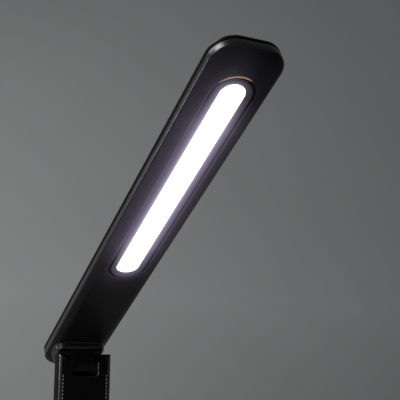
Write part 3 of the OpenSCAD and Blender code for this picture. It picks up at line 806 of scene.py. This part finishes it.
bossPiece = sweptPiece("headBoss", headBoss(bossSet), "head", "wallBlack",
                       wrapRows=False)
# its level face is dull
secondFinish(bossPiece, "coverBlack", levelCentres(bossPiece)[:, 2] < slight - bossSet["height"])

coverSet = {
    "base": headSet["wallTop"] + 0.4,   # over the shadow gap
    "top": levelBox("head_top_cover")[1][2] - underside,
    "lowRound": 0.3,
    "topRound": 1,
    "lipInset": 1.7,
    "lipDrop": 1.6,
    "lipWall": 1.2,
    "roof": 1.4,
}


# a capped form: roof underside, lip, lower edge, wall, rounded top edge and flat top
def headCover(s):
    outline, normal = headOutline(headSet)
    half = shellHigh[0]
    centre = centreLine(outline, shellLow[1] + half, shellHigh[1] - half)
    lipIn = s["lipInset"] + s["lipWall"]
    low, high = s["lowRound"], s["topRound"]
    rows = [[0, lipIn, s["top"] - s["roof"]], [1, lipIn, s["top"] - s["roof"]],
            [1, lipIn, s["base"] - s["lipDrop"]], [1, s["lipInset"], s["base"] - s["lipDrop"]],
            [1, s["lipInset"], s["base"]]]
    rows += [[1, low + x, s["base"] + low + z] for x, z in arcSteps(low, 270, 180, 4)]
    rows += [[1, high + x, s["top"] - high + z] for x, z in arcSteps(high, 180, 90, 8)]
    rows += [[share, high, s["top"]] for share in np.linspace(1, 0, 10)[1:]]
    return capRows(outline, normal, np.array(rows), centre)


coverPiece = sweptPiece("headCover", headCover(coverSet), "head", "coverBlack",
                        ["head_top_cover"], wrapRows=False)
coverCentres = levelCentres(coverPiece)
# its rounded top edge is as smooth as the side wall
secondFinish(coverPiece, "wallBlack",
             (coverCentres[:, 2] > coverSet["top"] - coverSet["topRound"])
             & (outlineInset(coverCentres[:, :2]) < coverSet["topRound"]))

windowSet = {
    "half": 7.32,           # half width of the lit window
    "rearSquash": 0.85,     # how much shorter its rear end is than a half circle
    "depth": 0.8,
    "rimTop": -0.45,        # the ring stands a little out of the belly
    "slopeHalf": channelHalf - 2.6,
    "channelDepth": 1.2,
    "back": 2.4,
    "slopeRound": 0.1,
    "rimRound": 0.4,
    "channelRound": 0.25,
    "around": 420,
}


# carries a section (distance from the centre line, height) round the window
def windowRows(section, s):
    low = (-s["half"], spineFront - s["half"])
    high = (s["half"], spineRear + s["half"])
    outline, _ = roundedBox(low, high, [s["half"] - 1e-4] * 4, s["around"])
    spine = centreLine(outline)
    ray = unit(outline - spine)
    flat = spine + section[:, 0][:, None, None] * ray
    # the squash fades from the lit edge to the rim, and from the end to the straight sides
    inner = np.clip((s["slopeHalf"] - section[:, 0]) / (s["slopeHalf"] - s["half"]), 0, 1)
    atRear = spine[:, 1] > (spineFront + spineRear) / 2
    flat[..., 1] -= s["rearSquash"] * inner[:, None] * np.maximum(ray[:, 1], 0) * atRear
    return raised(flat, section[:, 1])


# slope from the window out to a rounded rim, then the channel's wall and floor
def bezelSection(s):
    return filletPath([
        (s["half"], s["back"]), (s["half"], s["depth"]), (s["slopeHalf"], s["rimTop"]),
        (s["slopeHalf"], s["channelDepth"]), (channelHalf, s["channelDepth"]),
        (channelHalf, s["back"])], [0, s["slopeRound"], s["rimRound"], s["channelRound"], 0, 0], 6)


bezelPiece = sweptPiece("windowBezel", windowRows(bezelSection(windowSet), windowSet), "head",
                        "bezelBlack", ["diffuser_bezel"])
bezelPlaces = levelCentres(bezelPiece)[:, :2]
fromSpine = np.linalg.norm(bezelPlaces - centreLine(bezelPlaces), axis=1)
# the channel's faces take the darker finish: painted shade in the recess
secondFinish(bezelPiece, "channelShadeBlack", fromSpine > windowSet["slopeHalf"] + slight)

lensSet = {
    "crown": [(0, 0.1), (0.5, 0.08), (0.85, 0.03)],     # its bulge: share of half, height
    "gap": 0.03,
    "round": 0.12,
    "back": 2.3,
}


# from the crown's middle out to the rounded edge, and back along the underside
def lensSection(s):
    half, depth = windowSet["half"] - s["gap"], windowSet["depth"]
    rows = [(half * share, depth - bulge) for share, bulge in s["crown"]]
    rows += [(half - s["round"], depth), (half, depth + s["round"]), (half, s["back"]),
             (0, s["back"])]
    return np.array(rows)


sweptPiece("windowDiffuser", windowRows(lensSection(lensSet), windowSet), "head",
           "litDiffuser", ["diffuser"], wrapRows=False)

bandSet = {
    "outer": channelHalf - 0.2,
    "top": -0.03,
    "root": 1.3,
    "width": 0.3,
    "tipWidth": 1.15,
    "tipOver": 0.4,         # how far it stands over the channel's edge at the tip
    "lean": 0.23,           # the tip's crescent lies a little to the left
    "start": 0.8,
    "round": 0.12,
}


# Thin upright band in the channel, against its outer wall. Round the tip it swells into a
# crescent: the swell is the direction's share ahead, past its start, over what is left to 1.
def copperBand(s):
    section = filletPath([(0, s["root"]), (0, s["top"]), (1, s["top"]), (1, s["root"])],
                         [0, s["round"], s["round"], 0], 5)
    outer = windowRows(np.array([[s["outer"], 0]]), windowSet)[0, :, :2]
    ray = unit(outer - centreLine(outer))
    ahead = -ray[:, 1] - s["lean"] * ray[:, 0]
    left = math.hypot(1, s["lean"]) - s["start"]
    swell = np.clip((ahead - s["start"]) / left, 0, 1)
    swell = swell * (2 - swell)
    width = s["width"] + (s["tipWidth"] - s["width"]) * swell
    offset = s["tipOver"] * swell - (1 - section[:, :1]) * width
    return raised(outer + offset[..., None] * ray, section[:, 1])


sweptPiece("copperBand", copperBand(bandSet), "head", "copperPlate",
           ["bezel_trim"])
print("head ready")


# stem

leatherLow = nodePoints("stem_leather").min(0)
leatherHigh = nodePoints("stem_leather").max(0)

sleeveSet = {
    "halfWidth": (leatherHigh[0] - leatherLow[0]) / 2,
    "halfDepth": (leatherHigh[1] - leatherLow[1]) / 2,
    "edge": 2.6,
    "thickness": 1.2,
    "pinToEnd": leatherHigh[2] - upperPin[2],
    "slotHalf": 9.7,
    "slotDepth": 15.5,
    "rearSlotDepth": 13.5,  # the leather's lip behind the slot stands higher
    "slotRound": 2.2,
    "slotInset": 0.4,       # lower down, the columns beside the slot stand this much closer
    "earRound": 0.9,
    "facetDrop": 5.9,
    "endZone": 26,          # length over which the columns bend round the slot
    "zoneRows": 30,
    "slotColumns": 14,      # columns from the middle to the slot's side
    "earColumns": 26,
    "pathSteps": 400,       # points of the end edge from which the columns' places are taken
    "sideStart": 0.3,       # share of slotRound up to which a column counts as the slot's floor
    "cornerSteps": 6,
    "sideSteps": 5,
    "stitchInset": 3.4,     # from the stem's long edge to the stitch line
    "stitchPitch": 2.5,
    "rowsPerStitch": 3,
    "grooveDepth": 0.3,
    "grooveWidth": 0.8,
    "pucker": 0.22,
    "rollSteps": 6,
    "innerStep": 6,         # rows of the outer skin for each row of the inner; divides zoneRows
    "rollFacing": 0.85,     # a rolled edge's faces look less than this to the front or rear
    "edgeFacing": 0.55,     # and a long edge's burnished half more than this
}


# height of the ears' top above the pin: level, cut by a facet that falls from the outer front
# corner to the slot's front edge and back up to the slot's rear edge
def earTop(x, y, s):
    across = s["facetDrop"] / (s["halfWidth"] - s["slotHalf"])
    along = s["facetDrop"] / (2 * s["halfDepth"])
    facet = s["pinToEnd"] - across * (s["halfWidth"] - np.abs(x)) + along * (y + s["halfDepth"])
    return np.minimum(s["pinToEnd"], facet)


# half of a broad face's end edge, from the slot's middle up its side and out along the ear:
# points (x, height), directions away from it and the columns' places lower down
def faceEnd(y, s):
    bottom = s["pinToEnd"] - (s["slotDepth"] if y < 0 else s["rearSlotDepth"])
    flatHalf = s["halfWidth"] - s["edge"]
    corners = [(0, bottom), (s["slotHalf"], bottom), (s["slotHalf"], earTop(s["slotHalf"], y, s)),
               (flatHalf, earTop(flatHalf, y, s))]
    path = filletPath(corners, [0, s["slotRound"], s["earRound"], 0], 12)
    even = evenSteps(path, s["pathSteps"])
    onSide = np.argmax(even[:, 1] > bottom + s["slotRound"] * s["sideStart"])
    inner = evenSteps(even[:onSide + 1], s["slotColumns"] + 1)
    outer = evenSteps(even[onSide:], s["earColumns"] + 1)
    edge = np.vstack([inner[:-1], outer])
    away = -sideNormals(edge, closed=False)
    away[0] = (0, 1)
    slotEdge = s["slotHalf"] - s["slotInset"]
    lower = np.concatenate([np.linspace(0, slotEdge, s["slotColumns"] + 1)[:-1],
                            np.linspace(slotEdge, flatHalf, s["earColumns"] + 1)])
    return edge, away, lower


# every column round the stem, anticlockwise from the front's left: place lower down, place on the
# end edge, outward normal and direction away from the end
def sleeveColumns(s):
    flatHalf, deep = s["halfWidth"] - s["edge"], s["halfDepth"] - s["edge"]
    # the two rounded long edges on the right and the narrow side between them
    first, second = (arcSteps(1, start, start + 90, s["cornerSteps"]) for start in (-90, 0))
    narrow = np.linspace(-deep, deep, s["sideSteps"] + 2)[1:-1, None]
    flat = np.vstack([first * s["edge"] + [flatHalf, -deep],
                      np.hstack([0 * narrow + s["halfWidth"], narrow]),
                      second * s["edge"] + [flatHalf, deep]])[1:-1]
    outwards = np.vstack([first, 0 * narrow + [1, 0], second])[1:-1]
    sections = []
    for side in (-1, 1):
        edge, away, lower = faceEnd(side * s["halfDepth"], s)
        face = np.zeros((2 * len(lower) - 1, 4, 3))
        face[:, 0, 0] = np.concatenate([-lower[:0:-1], lower])[::-side]
        face[:, :2, 1] = side * s["halfDepth"]
        face[:, 1, ::2] = np.vstack([edge[:0:-1] * [-1, 1], edge])[::-side]
        face[:, 2, 1] = side
        face[:, 3, ::2] = np.vstack([away[:0:-1] * [-1, 1], away])[::-side]
        band = np.zeros((len(flat), 4, 3))
        band[:, :2, :2] = (flat * -side)[:, None]
        band[:, 1, 2] = earTop(*(flat * -side).T, s)
        band[:, 2, :2] = outwards * -side
        band[:, 3, 2] = 1
        sections += [face, band]
    return np.concatenate(sections)


# Outer skin up the stem, rolled end edge, inner skin down, rolled end edge. Near an end each
# column moves sideways to its place on the end edge by the square of the share of the way up. The
# stitch line draws the skin in by a bell curve, deeper at each hole by a cosine.
def stemSleeve(s):
    columns = sleeveColumns(s)
    lower, end, normal, away = (columns[:, k] for k in range(4))
    roll = s["thickness"] / 2
    span = upperPin[2] - lowerPin[2]
    rise = np.linspace(0, 1, s["zoneRows"] + 1)[:, None, None]
    start = s["pinToEnd"] - s["endZone"]
    inside = end - roll * away
    zone = lower + (inside - lower) * np.concatenate([rise ** 2, rise ** 2, rise], 2)
    zone[..., 2] = start + (inside[:, 2] - start) * rise[..., 0]
    down = np.array([1, 1, -1])
    up = np.array([0, 0, span])
    middleRows = int(round((span - 2 * start) / s["stitchPitch"] * s["rowsPerStitch"]))
    heights = np.linspace(-start, span + start, middleRows + 1)[1:-1]
    middle = raised(np.tile(lower[:, :2], (len(heights), 1, 1)), heights)
    outer = np.concatenate([(zone * down)[::-1], middle, zone + up])
    # stitch groove with a pucker at each hole
    line = s["halfWidth"] - s["stitchInset"]
    dip = np.exp(-((np.abs(outer[..., 0]) - line) / s["grooveWidth"]) ** 2)
    beat = 0.5 + 0.5 * np.cos(2 * math.pi * outer[..., 2] / s["stitchPitch"])
    outer = outer - normal * (dip * (s["grooveDepth"] + s["pucker"] * beat))[..., None]
    turn = np.radians(np.linspace(0, 180, s["rollSteps"] + 1))[1:-1, None, None]
    rolled = inside - roll * normal + roll * (np.cos(turn) * normal + np.sin(turn) * away)
    inner = (zone - s["thickness"] * normal)[::s["innerStep"]]
    return lowerPin + np.concatenate([outer, rolled + up, (inner + up)[::-1], inner * down,
                                      (rolled * down)[::-1]])


sleevePiece = sweptPiece("stemSleeve", stemSleeve(sleeveSet), "stem", "leatherSkin",
                         ["stem_leather"])


# the long edges' half that meets the broad faces, and the rolled edges round the slots and over
# the ears
def burnishedFaces(faces, s):
    across = np.abs(readRows(faces, "center")[:, 0] / metre - lowerPin[0])
    facing = np.abs(readRows(faces, "normal")[:, 1])
    onFace = across < s["halfWidth"] - s["edge"]
    return np.where(onFace, facing < s["rollFacing"], facing > s["edgeFacing"])


secondFinish(sleevePiece, "burnishedEdge", burnishedFaces(sleevePiece.data.polygons, sleeveSet))

stitchSet = {
    "length": 1.75,
    "width": 0.8,
    "height": 0.8,
    "slant": 9,             # degrees off the line
    "sink": 0.45,           # share of the groove's depth that the thread lies in
    "endGap": 15,           # from the stem's end to the first stitch
    "rings": 5,
    "sides": 8,
}


# one stitch is a slim ellipsoid; it is repeated at an even pitch along four lines
def stitchRow(s, sleeve):
    along = np.radians(np.linspace(0, 180, s["rings"] + 1))[:, None]
    about = np.radians(np.arange(s["sides"]) * 360 / s["sides"])
    stitch = np.stack([
        np.sin(along) * np.cos(about) * s["width"] / 2,
        np.sin(along) * np.sin(about) * s["height"] / 2,
        np.cos(along) * np.ones(s["sides"]) * s["length"] / 2], -1).reshape(-1, 3)
    slant = np.array(Matrix.Rotation(math.radians(s["slant"]), 3, "Y"))
    bottom = leatherLow[2] + s["endGap"]
    top = leatherHigh[2] - s["endGap"]
    pitch = sleeve["stitchPitch"]
    beats = np.ceil((bottom - lowerPin[2]) / pitch) + 0.5 + np.arange(int((top - bottom) / pitch))
    x = sleeve["halfWidth"] - sleeve["stitchInset"]
    y = sleeve["halfDepth"] - sleeve["grooveDepth"] * s["sink"]
    points = []
    for side, face in ((-1, -1), (-1, 1), (1, -1), (1, 1)):
        shape = stitch @ (slant.T if side * face > 0 else slant)
        places = lowerPin + sectionRows(side * x, face * y, pitch * beats)
        points.append(places[:, None] + shape)
    cell = gridFaces(s["rings"] + 1, s["sides"], False, True)
    starts = np.arange(4 * len(beats)) * len(stitch)
    return (np.concatenate(points).reshape(-1, 3),
            (starts[:, None, None] + cell).reshape(-1, 4))


stitchPoints, stitchFaces = stitchRow(stitchSet, sleeveSet)
addPiece("stemStitches", makeMesh("stemStitches", stitchPoints, stitchFaces, smoothAngle=80),
         "stem", "waxedThread")
print("stem ready")


# machined and moulded parts that keep the frame's shape

sharpAngle = math.radians(32)       # an edge that is eased
flatAngle = math.radians(0.6)       # faces that are joined into one

# the node's own shape with its doubles merged, its flat faces joined and its edges eased
def softenedCopy(node, name, body, slotName, finish, edge):
    work = bmesh.new()
    work.from_mesh(frame["nodes"][node].data)
    bmesh.ops.remove_doubles(work, verts=work.verts, dist=2e-6)
    bmesh.ops.dissolve_limit(work, angle_limit=flatAngle, verts=work.verts, edges=work.edges)
    mesh = smoothMesh(bpy.data.meshes.new(name), work, sharpAngle)
    # faces with many corners are flat, so they keep one normal of their own
    corners = np.zeros(len(mesh.polygons), np.int32)
    mesh.polygons.foreach_get("loop_total", corners)
    mesh.polygons.foreach_set("use_smooth", corners <= 4)
    piece = addPiece(name, mesh, body, finish, [node])
    if edge:
        ease = piece.modifiers.new("easedEdges", "BEVEL")
        ease.width = edge * metre
        ease.segments = 3
        ease.limit_method = "ANGLE"
        ease.angle_limit = sharpAngle


easedSet = {
    # node: piece, body, slot, finish, width of the eased edges
    "upper_yoke": ("upperYoke", "stem", "black_yoke", "yokeBlack", 0.25),
    "lower_yoke": ("lowerYoke", "stem", "black_yoke", "yokeBlack", 0.25),
    "head_knuckle": ("headKnuckle", "head", "knuckle", "knuckleBlack", 0.4),
    "base_knuckle": ("baseKnuckle", "base", "knuckle", "knuckleBlack", 0.4),
    "base_shell": ("baseShell", "base", "black_shell", "shellBlack", 0),
    "base_bottom_plate": ("basePlate", "base", "black_shell", "shellBlack", 0.3),
    "touch_panel": ("touchPanel", "base", "touch_gloss", "touchGloss", 0.1),
    "power_inlet": ("powerInlet", "base", "steel", "steelZinc", 0),
}
for node, row in easedSet.items():
    softenedCopy(node, *row)

touchHigh = nodePoints("touch_panel").max(0)
touchMiddle = (touchHigh + nodePoints("touch_panel").min(0)) / 2

marksSet = {
    "places": (-20, 0, 20),         # over the three touch springs: less, on and off, more
    "dots": (-13.5, -10, -6.5, 6.5, 10, 13.5),
    "dotRadius": 0.35,
    "ringRadius": 2.3,
    "stroke": 0.25,                 # half width of a line
    "barHalf": 2.1,
    "upright": (0.25, 0.95),        # the upright bar's middle and half length
    "crossLift": 0.005,             # keeps the plus's two bars apart
    "sink": 0.02,
    "proud": 0.03,
    "around": 48,
}


# a thin flat bar with round ends, printed on the touch panel
def markBar(x, y, halfX, halfY, s, lift=0.0):
    centre = touchMiddle[:2] + [x, y]
    half = np.array([halfX, halfY])
    outline, normal = roundedBox(centre - half, centre + half, [half.min() - 1e-3] * 4, s["around"])
    low, high = touchHigh[2] - s["sink"], touchHigh[2] + s["proud"] + lift
    section = np.array([[0, 0, low], [1, 0, low], [1, 0, high], [0, 0, high]])
    return capRows(outline, normal, section, centre)


# a thin flat ring: a small rectangle carried round a circle
def markRing(x, radius, s):
    circle = arcSteps(1, 0, 360, s["around"])[:-1]
    inner, outer = radius - s["stroke"], radius + s["stroke"]
    low, high = touchHigh[2] - s["sink"], touchHigh[2] + s["proud"]
    section = np.array([[inner, low], [outer, low], [outer, high], [inner, high]])
    return raised(touchMiddle[:2] + [x, 0] + circle * section[:, :1, None], section[:, 1])


# every mark in one mesh: a minus, a ring with an upright bar, a plus, and dots between
def touchMarks(s):
    less, middle, more = s["places"]
    stroke, half, dot = s["stroke"], s["barHalf"], s["dotRadius"]
    grids = [(markBar(less, 0, half, stroke, s), False),
             (markRing(middle, s["ringRadius"], s), True),
             (markBar(middle, s["upright"][0], stroke, s["upright"][1], s), False),
             (markBar(more, 0, half, stroke, s), False),
             (markBar(more, 0, stroke, half, s, s["crossLift"]), False)]
    grids += [(markBar(x, 0, dot, dot, s), False) for x in s["dots"]]
    points, faces, start = [], [], 0
    for grid, closed in grids:
        points.append(grid.reshape(-1, 3))
        faces.append(start + gridFaces(*grid.shape[:2], closed, True))
        start += len(points[-1])
    return makeMesh("touchMarks", np.concatenate(points), np.concatenate(faces), 30)


addPiece("touchMarks", touchMarks(marksSet), "base", "printGrey")
print("hinges and base ready")

nodeFinishes = {
    # finish: the nodes that keep their own shape and wear it
    "frameWhite": ["reflector_frame"],
    "boardWhite": ["led_board"],
    "chipYellow": ["led_chips"],
    "aluminiumPlain": ["heat_spreader", "stem_core"],
    "cableGrey": ["stem_cable"],
    "fibreBrown": ["upper_friction_discs", "lower_friction_discs"],
    "rubberBlack": ["base_pad"],
    "ballastSteel": ["ballast_plate"],
    "boardGreen": ["control_board", "inlet_board"],
    "steelZinc": ["board_screws", "knuckle_screws", "control_board_screws", "base_knuckle_screws",
                  "base_screws", "upper_hinge_pin", "lower_hinge_pin", "upper_hinge_nut",
                  "lower_hinge_nut", "upper_spring_washers", "lower_spring_washers"],
}
for finish, nodes in nodeFinishes.items():
    for node in nodes:
        materials = frame["nodes"][node].data.materials
        if len(materials):
            materials[0] = finishes[finish]
        else:
            materials.append(finishes[finish])
print("kept nodes finished")


# studio

studioSet = {
    "front": -4.0,
    "back": 2.6,
    "side": 5.0,
    "rise": 4.5,
    "bend": 1.2,
}


# floor that turns up into a backdrop along a quarter circle: its profile, repeated straight across
def studioSweep(s):
    section = filletPath([(s["front"], 0), (s["back"], 0), (s["back"], s["rise"])],
                         [0, s["bend"], 0], 24) / metre
    across = np.linspace(-s["side"], s["side"], 9) / metre
    grid = np.zeros((len(section), len(across), 3))
    grid[..., 0] = across
    grid[..., 1:] = section[:, None]
    return grid


sweepGrid = studioSweep(studioSet)
sweepMesh = makeMesh("studioSweep", sweepGrid.reshape(-1, 3), gridFaces(*sweepGrid.shape[:2]), 80)
sweepMesh.materials.append(finishes["paperBackdrop"])
studio = addObject("studioSweep", sweepMesh)
print("studio ready")
